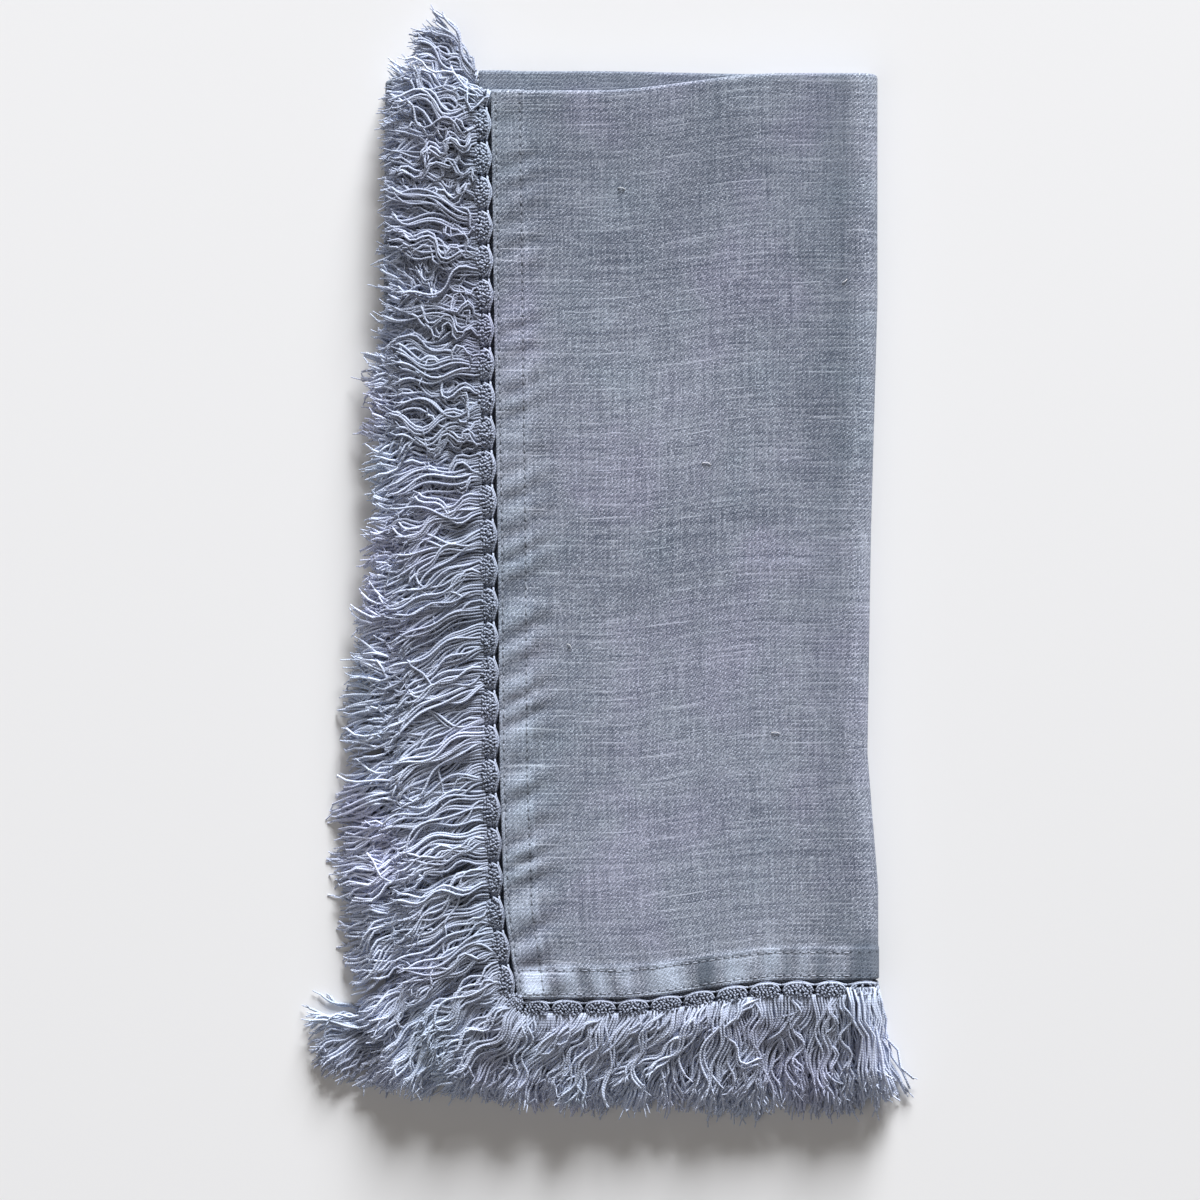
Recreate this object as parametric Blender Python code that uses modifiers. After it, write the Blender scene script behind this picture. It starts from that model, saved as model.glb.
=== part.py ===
"""A square linen napkin with a tassel fringe, folded three times into eight layers.

Lengths are in metres and +Z is up. The napkin lies flat with its front layer on top, its folds at
the top (+Y) and the right (+X), and its fringes at the left and the bottom. It is laid out from the
top right corner of the front layer, and then centred on the middle of its underside.

The cloth is a pair of sheets, front and back, joined by a hairpin at the top. The pair runs back
and forth: front run, outer right fold, bottom run, left fold, third run, inner right fold, second
run. A point of the open cloth is given by how far it is across the pair, from the front layer's
left edge, and how far it is along the sheets, from the front sheet's lower edge over the hairpin.
"""

import math
from collections import namedtuple

import bmesh
import bpy
from mathutils import Vector

MM = 0.001

# Driving sizes
CLOTH = 1.0 * MM  # thickness of a layer
PITCH = 1.4 * MM  # from one layer to the next
HEIGHT = 228.0 * MM  # from the lower edge to the top fold
FRINGE = 30.0 * MM  # from the hem's edge to the tips
BAND = 3.8 * MM  # from the hem's edge to the end of the row of knots
GAP = 0.5 * MM  # from the hem's edge to the row of knots
TASSEL = 8.5 * MM  # from one tassel to the next

HALF = PITCH / 2
SKIN = CLOTH / 2
HAIRPIN = math.pi * HALF  # length of the bend at the top
LENGTH = 2 * HEIGHT + HAIRPIN  # of the open cloth, from lower edge to lower edge

# A row for each edge or fold of the pair: its x at these shares of the height, and its ends in y
SHARES = (0.0, 0.25, 0.5, 0.75, 0.9, 1.0)
Line = namedtuple("Line", "top quarter half three_quarters low foot y_top y_foot")
FRONT_EDGE = Line(-96.7, -95.9, -95.0, -94.5, -93.4, -90.0, -4.1, -230.4)
RIGHT_FOLD = Line(0.0, 0.0, -1.6, -2.5, 0.2, 0.2, 0.2, -225.8)
LEFT_FOLD = Line(-123.5, -124.0, -124.5, -124.5, -124.0, -123.0, -0.8, -237.0)
SECOND_EDGE = Line(-99.8, -100.3, -101.5, -107.0, -107.0, -105.0, 1.0, -236.0)
LEVEL_LEFT, LEVEL_RIGHT = 0.28, 0.80  # a run's ends are level up to here, and from here on
BACK_DROP = 1.5 * MM  # how much lower the back sheet ends

# A row for each run: the lines it joins, the height of the pair's middle, and where it heads
RIGHTWARD, LEFTWARD = 0.0, math.pi
Run = namedtuple("Run", "start end height heading steps")
RUNS = (
    Run(FRONT_EDGE, RIGHT_FOLD, 6.5 * PITCH + SKIN, RIGHTWARD, 6),
    Run(RIGHT_FOLD, LEFT_FOLD, 0.5 * PITCH + SKIN, LEFTWARD, 6),
    Run(LEFT_FOLD, RIGHT_FOLD, 2.5 * PITCH + SKIN, RIGHTWARD, 6),
    Run(RIGHT_FOLD, SECOND_EDGE, 4.5 * PITCH + SKIN, LEFTWARD, 6),
)

# A row for the bend after each run: the radius of the pair's middle, and which way it turns
CLOCKWISE, COUNTERCLOCKWISE = -1, 1
Bend = namedtuple("Bend", "radius turn steps")
BENDS = (
    Bend(3 * PITCH, CLOCKWISE, 8),
    Bend(PITCH, CLOCKWISE, 6),
    Bend(PITCH, COUNTERCLOCKWISE, 6),
)
RIGHT_REACH = 3.5 * PITCH + SKIN  # from the right folds' axis to their outside
LEFT_REACH = 1.5 * PITCH + SKIN

SHEET_STEPS = 7
HAIRPIN_STEPS = 4

# How the tassels lie: a row for each place on an edge, in millimetres, with how far the tips there
# drift along the edge and how far they reach out from it
Flow = namedtuple("Flow", "place drift reach")
SIDE_FRONT_FLOW = (
    Flow(-230, -22, 24),
    Flow(-215, -13, 29),
    Flow(-150, -13, 30),
    Flow(-115, -5, 30),
    Flow(-50, 0, 30),
    Flow(0, 1, 30),
)
SIDE_BACK_FLOW = (
    Flow(-236, -22, 24),
    Flow(-215, -12, 29),
    Flow(-150, -12, 29),
    Flow(-115, -5, 30),
    Flow(-50, 0, 28),
    Flow(-12, 0, 28),
    Flow(1, 13, 18),
)
END_FLOW = (
    Flow(-124, -20, 14),
    Flow(-110, -17, 20),
    Flow(-90, -15, 24),
    Flow(-40, -14, 27),
    Flow(-25, -4, 28),
    Flow(0, 4, 28),
)

# A row for each row of a tooth: its share of the way from band to tip, and of the root's width
Row = namedtuple("Row", "share width")
TOOTH_ROWS = (Row(0.5, 0.92), Row(1.0, 0.88))
COMB_MARGIN = 0.6 * MM  # from a comb's end to the cloth's corner

LINEN_COLOUR = (0.245, 0.272, 0.335, 1.0)
YARN_COLOUR = (0.215, 0.240, 0.310, 1.0)
ROUGHNESS = 0.9


def smooth(share):
    """Rise from 0 to 1 with level ends."""
    share = min(max(share, 0.0), 1.0)
    return share * share * (3 - 2 * share)


def read_table(places, values, place):
    """Read the value at this place, on straight lines between the rows."""
    if place <= places[0]:
        return values[0]
    for low, high, left, right in zip(places, places[1:], values, values[1:]):
        if place <= high:
            return left + (right - left) * (place - low) / (high - low)
    return values[-1]


def axis_x(line, share):
    """Give the x of an edge, or of the axis that a fold turns about, at a share of the height."""
    x = read_table(SHARES, line[: len(SHARES)], share) * MM
    if line is RIGHT_FOLD:
        return x - RIGHT_REACH
    if line is LEFT_FOLD:
        return x + LEFT_REACH
    return x


def list_sections():
    """List the stretches across the pair, as (run, bend or None, where it starts, where it ends)."""
    found, start = [], 0.0
    for run, bend in zip(RUNS, BENDS + (None,)):
        end = start + abs(axis_x(run.end, 0.5) - axis_x(run.start, 0.5))
        found.append((run, None, start, end))
        start = end
        if bend:
            end = start + math.pi * bend.radius
            found.append((run, bend, start, end))
            start = end
    return found


SECTIONS = list_sections()
WIDTH = SECTIONS[-1][3]  # of the open cloth


def across_lines():
    """List the cloth's grid lines across the pair, close together in the bends."""
    lines = [0.0]
    for run, bend, start, end in SECTIONS:
        steps = bend.steps if bend else run.steps
        lines += [start + (end - start) * (step + 1) / steps for step in range(steps)]
    return lines


def along_lines():
    """List the cloth's grid lines along the sheets, close together in the hairpin."""
    front = [HEIGHT * step / SHEET_STEPS for step in range(SHEET_STEPS)]
    bend = [HEIGHT + HAIRPIN * step / HAIRPIN_STEPS for step in range(HAIRPIN_STEPS)]
    back = [LENGTH - line for line in reversed(front)]
    return front + bend + [HEIGHT + HAIRPIN] + back


def sheet_place(along):
    """Give the share of the height from the top, the rise over it, and the side of the pair.

    The side is 1 on the front sheet, -1 on the back sheet, and between them in the hairpin.
    """
    if along < HEIGHT:
        return 1 - along / HEIGHT, 0.0, 1.0
    if along > HEIGHT + HAIRPIN:
        return 1 - (LENGTH - along) / HEIGHT, 0.0, -1.0
    angle = (along - HEIGHT) / HALF
    return 0.0, HALF * math.sin(angle), math.cos(angle)


def normal_at(heading):
    """Give the direction from the back sheet to the front one, where the pair has this heading."""
    return Vector((-math.sin(heading), 0, math.cos(heading)))


def fold(across, along):
    """Place a point of the open cloth on the middle of the folded one."""
    share, rise, side = sheet_place(along)
    for run, bend, start, end in SECTIONS:
        if across <= end:
            break
    part = min(max((across - start) / (end - start), 0.0), 1.0)
    heading = run.heading
    if bend:
        left = right = run.end
        weight = 0.0
        heading += bend.turn * math.pi * part
        middle = Vector((axis_x(run.end, share), 0, run.height))
        middle -= bend.turn * bend.radius * (normal_at(heading) - normal_at(run.heading))
    else:
        x = axis_x(run.start, share) * (1 - part) + axis_x(run.end, share) * part
        middle = Vector((x, 0, run.height))
        left, right = run.start, run.end
        if run.heading == LEFTWARD:
            left, right, part = right, left, 1 - part
        weight = smooth((part - LEVEL_LEFT) / (LEVEL_RIGHT - LEVEL_LEFT))
    top = (left.y_top + (right.y_top - left.y_top) * weight) * MM - HALF - SKIN
    foot = (left.y_foot + (right.y_foot - left.y_foot) * weight) * MM
    foot -= BACK_DROP * (1 - side) / 2
    middle.y = top + (foot - top) * share + rise
    return middle + normal_at(heading) * HALF * side


def flow_out(flow, place, out):
    """Give the drift and the reach of a point this far out on the fringe, at this place."""
    places = [row.place * MM for row in flow]
    share = max(out - BAND, 0.0) / (FRINGE - BAND)
    drift = read_table(places, [row.drift * MM for row in flow], place) * share
    reach = read_table(places, [row.reach * MM for row in flow], place)
    return drift, min(out, BAND) + (reach - BAND) * share


def side_place(across, flow):
    """Return the function that places a point of a side comb, out from the cloth's faceted edge."""
    lines = along_lines()
    corners = [fold(across, line) for line in lines]

    def place(along, out):
        root = read_table(lines, corners, along)
        drift, reach = flow_out(flow, root.y, out)
        return root + Vector((-reach, drift, 0))

    return place


def end_place(along, flow):
    """Return the function that places a point of an end comb, out from the cloth's faceted edge."""
    lines = across_lines()
    corners = [fold(line, along) for line in lines]

    def place(across, out):
        root = read_table(lines, corners, across)
        drift, reach = flow_out(flow, root.x, out)
        return root + Vector((drift, -reach, 0))

    return place


def grid_of(bm, lines_x, lines_y):
    """Add a grid whose vertices keep these lines as their x and y."""
    steps_x, steps_y = len(lines_x) - 1, len(lines_y) - 1
    made = bmesh.ops.create_grid(bm, x_segments=steps_x, y_segments=steps_y, size=1)
    for vert in made["verts"]:
        column = round((vert.co.x + 1) / 2 * steps_x)
        row = round((vert.co.y + 1) / 2 * steps_y)
        vert.co = (lines_x[column], lines_y[row], 0)


def finish_sheet(name, bm, place, material, collection, parent):
    """Place the vertices, then make the object, with its thickness as a modifier."""
    for vert in bm.verts:
        vert.co = place(vert.co.x, vert.co.y)
    bmesh.ops.recalc_face_normals(bm, faces=bm.faces)
    mesh = bpy.data.meshes.new(name)
    bm.to_mesh(mesh)
    bm.free()
    mesh.materials.append(material)
    piece = bpy.data.objects.new(name, mesh)
    piece.parent = parent
    collection.objects.link(piece)
    thickness = piece.modifiers.new("thickness", "SOLIDIFY")
    thickness.thickness = CLOTH
    thickness.offset = 0
    thickness.use_even_offset = True
    return piece


def cloth(material, collection, parent):
    """Make the hemmed linen, one sheet through all eight layers."""
    bm = bmesh.new()
    grid_of(bm, across_lines(), along_lines())
    return finish_sheet("linen_cloth", bm, fold, material, collection, parent)


def tassel_lines(length, count, bend_lines):
    """List the notches between the tassels of an edge, moved to the nearest line within a bend."""
    pitch = (length - 2 * COMB_MARGIN) / count
    notches = [COMB_MARGIN + pitch * index for index in range(count + 1)]
    for index, notch in enumerate(notches):
        nearest = min(bend_lines, key=lambda line: abs(line - notch))
        if abs(nearest - notch) < pitch / 8:
            notches[index] = nearest
    return notches


def add_tooth(bm, root_edges):
    """Extrude a tassel from its stretch of the band, row by row."""
    ends = [vert.co.x for edge in root_edges for vert in edge.verts]
    centre, edges, width = (min(ends) + max(ends)) / 2, root_edges, 1.0
    for row in TOOTH_ROWS:
        made = bmesh.ops.extrude_edge_only(bm, edges=edges)["geom"]
        verts = {item for item in made if isinstance(item, bmesh.types.BMVert)}
        for vert in verts:
            vert.co.x = centre + (vert.co.x - centre) * row.width / width
            vert.co.y = BAND + (FRINGE - BAND) * row.share
        edges = [item for item in made if isinstance(item, bmesh.types.BMEdge)]
        edges = [edge for edge in edges if set(edge.verts) <= verts]
        width = row.width


def comb(name, place, notches, bend_lines, material, collection, parent):
    """Make one edge's fringe: a band along the edge, with a tooth for each tassel."""
    bm = bmesh.new()
    inside = [line for line in bend_lines if notches[0] < line < notches[-1]]
    grid_of(bm, sorted(set(notches + inside)), [GAP, BAND])
    outer = [edge for edge in bm.edges if min(vert.co.y for vert in edge.verts) > GAP + SKIN]
    for first, last in zip(notches, notches[1:]):
        middle = [(edge, sum(vert.co.x for vert in edge.verts) / 2) for edge in outer]
        add_tooth(bm, [edge for edge, x in middle if first < x < last])
    return finish_sheet(name, bm, place, material, collection, parent)


def fringes(material, collection, parent):
    """Make the four combs: one on each edge of the open cloth."""
    hairpin = [line for line in along_lines() if HEIGHT <= line <= HEIGHT + HAIRPIN]
    across = across_lines()
    bends = [(start, end) for run, bend, start, end in SECTIONS if bend]
    folds = [line for line in across if any(start <= line <= end for start, end in bends)]
    side_count = round(LENGTH / TASSEL / 2) * 2 - 1  # odd, so that one tassel is on the top fold
    side = tassel_lines(LENGTH, side_count, hairpin)
    end = tassel_lines(WIDTH, round(WIDTH / TASSEL), folds)
    front_side, back_side = side_place(0.0, SIDE_FRONT_FLOW), side_place(WIDTH, SIDE_BACK_FLOW)
    front_end, back_end = end_place(0.0, END_FLOW), end_place(LENGTH, END_FLOW)
    return [
        comb("fringe_side_front", front_side, side, hairpin, material, collection, parent),
        comb("fringe_side_back", back_side, side, hairpin, material, collection, parent),
        comb("fringe_end_front", front_end, end, folds, material, collection, parent),
        comb("fringe_end_back", back_end, end, folds, material, collection, parent),
    ]


def plain_material(name, colour):
    """Make a matt Principled material."""
    material = bpy.data.materials.new(name)
    material.diffuse_color = colour
    material.use_nodes = True
    shader = material.node_tree.nodes["Principled BSDF"]
    shader.inputs["Base Color"].default_value = colour
    shader.inputs["Roughness"].default_value = ROUGHNESS
    shader.inputs["Metallic"].default_value = 0.0
    return material


def centre_on_underside(pieces):
    """Move the meshes so that the middle of the whole napkin's underside is the origin."""
    bpy.context.view_layer.update()
    graph = bpy.context.evaluated_depsgraph_get()
    corners = [Vector(corner) for piece in pieces for corner in piece.evaluated_get(graph).bound_box]
    low = Vector(min(corner[axis] for corner in corners) for axis in range(3))
    high = Vector(max(corner[axis] for corner in corners) for axis in range(3))
    middle = (low + high) / 2
    for piece in pieces:
        for vert in piece.data.vertices:
            vert.co -= Vector((middle.x, middle.y, low.z))


def main():
    for leftover in list(bpy.data.objects):
        bpy.data.objects.remove(leftover)
    collection = bpy.data.collections.new("folded_napkin")
    bpy.context.scene.collection.children.link(collection)
    napkin = bpy.data.objects.new("napkin", None)
    collection.objects.link(napkin)
    linen = plain_material("linen", LINEN_COLOUR)
    yarn = plain_material("fringe", YARN_COLOUR)
    pieces = [cloth(linen, collection, napkin)] + fringes(yarn, collection, napkin)
    centre_on_underside(pieces)


main()
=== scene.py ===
"""The looks of a folded linen napkin with a tassel fringe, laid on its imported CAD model."""

import math
from collections import namedtuple

import bmesh
import bpy
import numpy as np
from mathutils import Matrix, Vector


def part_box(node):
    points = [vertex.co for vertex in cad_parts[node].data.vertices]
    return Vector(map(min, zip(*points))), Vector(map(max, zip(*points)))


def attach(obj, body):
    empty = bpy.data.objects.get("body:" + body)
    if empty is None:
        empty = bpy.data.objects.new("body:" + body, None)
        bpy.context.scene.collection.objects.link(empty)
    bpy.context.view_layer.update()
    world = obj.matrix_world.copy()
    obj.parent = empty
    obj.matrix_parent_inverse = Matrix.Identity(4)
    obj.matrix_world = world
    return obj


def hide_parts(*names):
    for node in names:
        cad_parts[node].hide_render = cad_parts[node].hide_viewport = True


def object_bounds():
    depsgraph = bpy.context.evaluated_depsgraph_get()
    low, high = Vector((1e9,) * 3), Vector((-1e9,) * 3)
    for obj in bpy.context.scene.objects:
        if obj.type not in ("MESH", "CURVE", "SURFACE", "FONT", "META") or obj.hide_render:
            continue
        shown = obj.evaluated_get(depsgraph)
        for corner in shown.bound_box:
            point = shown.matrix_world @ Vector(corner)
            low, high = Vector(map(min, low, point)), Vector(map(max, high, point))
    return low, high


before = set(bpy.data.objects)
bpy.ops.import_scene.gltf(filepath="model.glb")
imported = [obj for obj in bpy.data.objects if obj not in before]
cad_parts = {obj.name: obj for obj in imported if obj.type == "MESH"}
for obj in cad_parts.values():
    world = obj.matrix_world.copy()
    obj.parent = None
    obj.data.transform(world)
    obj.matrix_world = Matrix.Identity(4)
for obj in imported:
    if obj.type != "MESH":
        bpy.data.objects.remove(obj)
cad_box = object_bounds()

MM = 0.001

# ---------------------------------------------------------------------------------------------
# The fold, as the CAD has it: lengths in millimetres in the tables, metres elsewhere. Places are
# taken from the top right corner of the front layer, and moved to the frame by CORNER.
# ---------------------------------------------------------------------------------------------

REACH_RIGHT, REACH_UP = 0.2 * MM, 1.0 * MM  # how far the cloth goes past that corner
cloth_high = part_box("linen_cloth")[1]
CORNER = np.array([cloth_high.x - REACH_RIGHT, cloth_high.y - REACH_UP, 0.0])

CLOTH = 1.0 * MM  # thickness of a layer
PITCH = 1.4 * MM  # from one layer to the next
HEIGHT = 228.0 * MM  # from the lower edge to the top fold
TASSEL = 8.5 * MM  # from one tassel to the next
HALF = PITCH / 2
SKIN = CLOTH / 2
HAIRPIN = math.pi * HALF  # length of the bend at the top
LENGTH = 2 * HEIGHT + HAIRPIN  # of the open cloth, from lower edge to lower edge

# A row for each edge or fold: its x at these shares of the height, and its ends in y
SHARES = (0.0, 0.25, 0.5, 0.75, 0.9, 1.0)
Line = namedtuple("Line", "top quarter half three_quarters low foot y_top y_foot")
FRONT_EDGE = Line(-96.7, -95.9, -95.0, -94.5, -93.4, -90.0, -4.1, -230.4)
RIGHT_FOLD = Line(0.0, 0.0, -1.6, -2.5, 0.2, 0.2, 0.2, -225.8)
LEFT_FOLD = Line(-123.5, -124.0, -124.5, -124.5, -124.0, -123.0, -0.8, -237.0)
SECOND_EDGE = Line(-99.8, -100.3, -101.5, -107.0, -107.0, -105.0, 1.0, -236.0)
LEVEL_LEFT, LEVEL_RIGHT = 0.28, 0.80  # a run's ends are level up to here, and from here on
BACK_DROP = 1.5 * MM  # how much lower the back sheet ends

RIGHTWARD, LEFTWARD = 0.0, math.pi
Run = namedtuple("Run", "start end height heading")
RUNS = (
    Run(FRONT_EDGE, RIGHT_FOLD, 6.5 * PITCH + SKIN, RIGHTWARD),
    Run(RIGHT_FOLD, LEFT_FOLD, 0.5 * PITCH + SKIN, LEFTWARD),
    Run(LEFT_FOLD, RIGHT_FOLD, 2.5 * PITCH + SKIN, RIGHTWARD),
    Run(RIGHT_FOLD, SECOND_EDGE, 4.5 * PITCH + SKIN, LEFTWARD),
)
Bend = namedtuple("Bend", "radius turn")
BENDS = (Bend(3 * PITCH, -1), Bend(PITCH, -1), Bend(PITCH, 1))
RIGHT_REACH = 3.5 * PITCH + SKIN
LEFT_REACH = 1.5 * PITCH + SKIN


def smooth(share):
    """Rise from 0 to 1 with level ends."""
    share = np.clip(share, 0.0, 1.0)
    return share * share * (3 - 2 * share)


def axis_x(line, share):
    """Give the x of an edge, or of the axis that a fold turns about, at a share of the height."""
    x = np.interp(share, SHARES, line[: len(SHARES)]) * MM
    if line is RIGHT_FOLD:
        return x - RIGHT_REACH
    if line is LEFT_FOLD:
        return x + LEFT_REACH
    return x


def list_sections():
    """List the stretches across the pair, as (run, bend or None, where it starts, where it ends)."""
    found, start = [], 0.0
    for run, bend in zip(RUNS, BENDS + (None,)):
        end = start + float(abs(axis_x(run.end, 0.5) - axis_x(run.start, 0.5)))
        found.append((run, None, start, end))
        start = end
        if bend:
            end = start + math.pi * bend.radius
            found.append((run, bend, start, end))
            start = end
    return found


SECTIONS = list_sections()
WIDTH = SECTIONS[-1][3]
FRONT_RUN_END = SECTIONS[0][3]


def lay_run(run, shares, part):
    """Follow a flat run from one edge or fold to the next. Give x, z and the way it heads."""
    x = axis_x(run.start, shares) * (1 - part) + axis_x(run.end, shares) * part
    return x, np.full(part.shape, run.height), np.full(part.shape, run.heading)


def lay_bend(run, bend, shares, part):
    """Follow the bend at the end of a run round its axis. Give x, z and the way it heads."""
    heading = run.heading + bend.turn * math.pi * part
    turn = -bend.turn * bend.radius
    x = axis_x(run.end, shares) + turn * (-np.sin(heading) + math.sin(run.heading))
    z = run.height + turn * (np.cos(heading) - math.cos(run.heading))
    return x, z, heading


def ends_in_y(run, bend, part, sides):
    """Give the y of the top and of the foot. A bend has one line's, and a run blends its two."""
    left, right = run.start, run.end
    if bend:
        left = run.end
    elif run.heading == LEFTWARD:
        left, right, part = right, left, 1 - part
    weight = smooth((part - LEVEL_LEFT) / (LEVEL_RIGHT - LEVEL_LEFT))
    top = (left.y_top + (right.y_top - left.y_top) * weight) * MM - HALF - SKIN
    foot = (left.y_foot + (right.y_foot - left.y_foot) * weight) * MM
    return top, foot - BACK_DROP * (1 - sides) / 2


def fold(across, along):
    """Place points of the open cloth on the folded one. Give the points and the sheets' normals."""
    across, along = np.broadcast_arrays(np.asarray(across, float), np.asarray(along, float))
    angle = np.clip((along - HEIGHT) / HALF, 0.0, math.pi)
    side, rise = np.cos(angle), HALF * np.sin(angle)
    share = np.where(along <= HEIGHT, 1 - along / HEIGHT, 1 - (LENGTH - along) / HEIGHT)
    share = np.clip(share, 0.0, 1.0)
    points, normals = np.zeros(across.shape + (3,)), np.zeros(across.shape + (3,))
    done = np.zeros(across.shape, bool)
    for run, bend, start, end in SECTIONS:
        here = ~done if run is RUNS[-1] else ~done & (across <= end + 1e-9)
        done |= here
        part = np.clip((across[here] - start) / (end - start), 0.0, 1.0)
        shares, sides = share[here], side[here]
        laid = lay_bend(run, bend, shares, part) if bend else lay_run(run, shares, part)
        x, z, heading = laid
        top, foot = ends_in_y(run, bend, part, sides)
        normal = np.stack([-np.sin(heading), np.zeros(part.shape), np.cos(heading)], -1)
        middle = np.stack([x, top + (foot - top) * shares + rise[here], z], -1)
        points[here] = middle + normal * (HALF * sides)[:, None] + CORNER
        up = np.sin(angle[here])
        normals[here] = normal * sides[:, None] + np.array([0, 1.0, 0]) * up[:, None]
    return points, normals


# ---------------------------------------------------------------------------------------------
# Camera, lights and floor
# ---------------------------------------------------------------------------------------------

VIEW_WIDTH = 298.6 * MM  # of the frame, at the height of the front layer
VIEW_MIDDLE = Vector((-69.55 * MM, -131.25 * MM, 0)) + Vector(CORNER)
CAMERA_HEIGHT = 1.15
LENS_SENSOR = 36.0


def set_camera():
    """Look straight down on the napkin."""
    camera = bpy.data.cameras.new("camera")
    top = cad_box[1][2]
    camera.sensor_width = LENS_SENSOR
    camera.lens = LENS_SENSOR * (CAMERA_HEIGHT - top) / VIEW_WIDTH
    camera.clip_start = 0.05
    eye = bpy.data.objects.new("camera", camera)
    eye.location = (VIEW_MIDDLE.x, VIEW_MIDDLE.y, CAMERA_HEIGHT)
    bpy.context.scene.collection.objects.link(eye)
    bpy.context.scene.camera = eye


def add_area_light(name, place, size, power, colour):
    """Add a soft square light that faces the middle of the view."""
    light = bpy.data.lights.new(name, "AREA")
    light.shape = "SQUARE"
    light.size, light.energy, light.color = size, power, colour
    lamp = bpy.data.objects.new(name, light)
    lamp.location = place
    lamp.rotation_euler = (VIEW_MIDDLE - Vector(place)).to_track_quat("-Z", "Y").to_euler()
    bpy.context.scene.collection.objects.link(lamp)


def light_the_room():
    """A soft window light from beyond the top folds, and pale light from all round."""
    bpy.context.scene.view_settings.view_transform = "Standard"
    add_area_light("window", (1.4, 6.6, 2.25), 2.5, 1330.0, (0.975, 0.985, 1.0))
    add_area_light("ceiling", (-1.1, -0.9, 2.2), 2.2, 12.0, (1.0, 0.96, 0.92))
    world = bpy.data.worlds.new("room")
    world.use_nodes = True
    sky = world.node_tree.nodes["Background"]
    sky.inputs["Color"].default_value = (1.0, 0.93, 0.855, 1.0)
    sky.inputs["Strength"].default_value = 0.11
    bpy.context.scene.world = world


def add_floor():
    """A plain pale floor under the napkin."""
    bm = bmesh.new()
    bmesh.ops.create_grid(bm, x_segments=1, y_segments=1, size=2.0)
    mesh = bpy.data.meshes.new("floor")
    bm.to_mesh(mesh)
    bm.free()
    floor = bpy.data.objects.new("floor", mesh)
    paint = bpy.data.materials.new("pale_floor")
    paint.use_nodes = True
    shader = paint.node_tree.nodes["Principled BSDF"]
    shader.inputs["Base Color"].default_value = (0.828, 0.832, 0.846, 1.0)
    shader.inputs["Roughness"].default_value = 0.7
    mesh.materials.append(paint)
    bpy.context.scene.collection.objects.link(floor)


# ---------------------------------------------------------------------------------------------
# The linen
# ---------------------------------------------------------------------------------------------

HEM = 8.0 * MM
HEM_THICKNESS = 1.05 * MM
PLAIN_SHARE = 0.62  # the plain cloth's thickness, as a share of the hem's
EDGE_SHARE = 0.55  # the same for the hem's rounded edge
STITCH_ROWS = (1.1 * MM, 6.9 * MM)  # from the hem's edge
STITCH = 2.15 * MM
PUCKER = 8.5 * MM  # from one pucker of the hem to the next
SLANT = 0.42  # how far a pucker rises on its way across the hem
PUCKER_HEIGHT = 0.22 * MM
PUCKER_GAIN = 0.20 * MM  # how much higher the side hem's puckers are lower down
STITCH_DIP = 0.10 * MM  # how deep a row of stitches draws the hem in
BROAD_WAVE, FINE_WAVE = 0.22 * MM, 0.035 * MM  # heights of the plain cloth's waves
CREASE_PLACE, CREASE_HEIGHT = 105 * MM, 0.16 * MM  # a faint pressed line across the front

# The grid lines of the cloth
PLAIN_START = 10.4 * MM  # where the even lines start, past a hem's own
STEP_ACROSS, STEP_ALONG = 1.7 * MM, 1.5 * MM  # on the front layer
REAR_STEP_ALONG = 7 * MM
HIDDEN_HEM = 10 * MM  # the width that a hidden hem's own lines take up
HIDDEN_STEPS = {RUNS[1]: 5.5 * MM, RUNS[2]: 8 * MM, RUNS[3]: 7 * MM}
OUTER_BEND_LINES, BEND_LINES = 16, 8

# Patches of the lower hem, washed out or left dark: how far their middles are from the left edge,
# how wide they are, both in millimetres, and how strong
Patch = namedtuple("Patch", "middle width fade")
FOOT_PATCHES = (
    Patch(5.0, 6.5, 1.45),
    Patch(13.5, 4.5, 0.55),
    Patch(17.8, 2.0, -0.45),
    Patch(22.0, 4.5, 0.50),
    Patch(28.5, 4.0, 0.42),
    Patch(39.0, 9.5, 0.80),
    Patch(48.8, 5.0, -0.75),
    Patch(57.0, 7.0, 0.60),
    Patch(65.5, 4.5, 0.50),
    Patch(69.8, 2.2, -0.55),
    Patch(74.0, 3.0, 0.30),
    Patch(78.2, 3.6, -0.60),
    Patch(83.5, 3.6, 0.12),
    Patch(90.0, 6.5, -0.65),
)


def spaced(start, end, step):
    """Evenly spaced lines from start up to, but not at, the end."""
    count = max(1, round((end - start) / step))
    return list(start + (end - start) * np.arange(count) / count)


def hem_lines():
    """Lines across a hem: its rounded edge, its two rows of stitches and its turned-in end."""
    rows = [0.0, 0.22, 0.6, 1.1, 1.6, 2.6, 3.7, 4.8, 5.8, 6.4, 6.9, 7.4, 7.9, 8.25, 9.2]
    return [row * MM for row in rows]


def coarse_hem_lines():
    """Lines across a hem that is hidden: its edge and its turned-in end."""
    return [row * MM for row in (0.0, 0.25, 2.0, 4.0, 6.0, 7.9, 8.3)]


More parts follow.
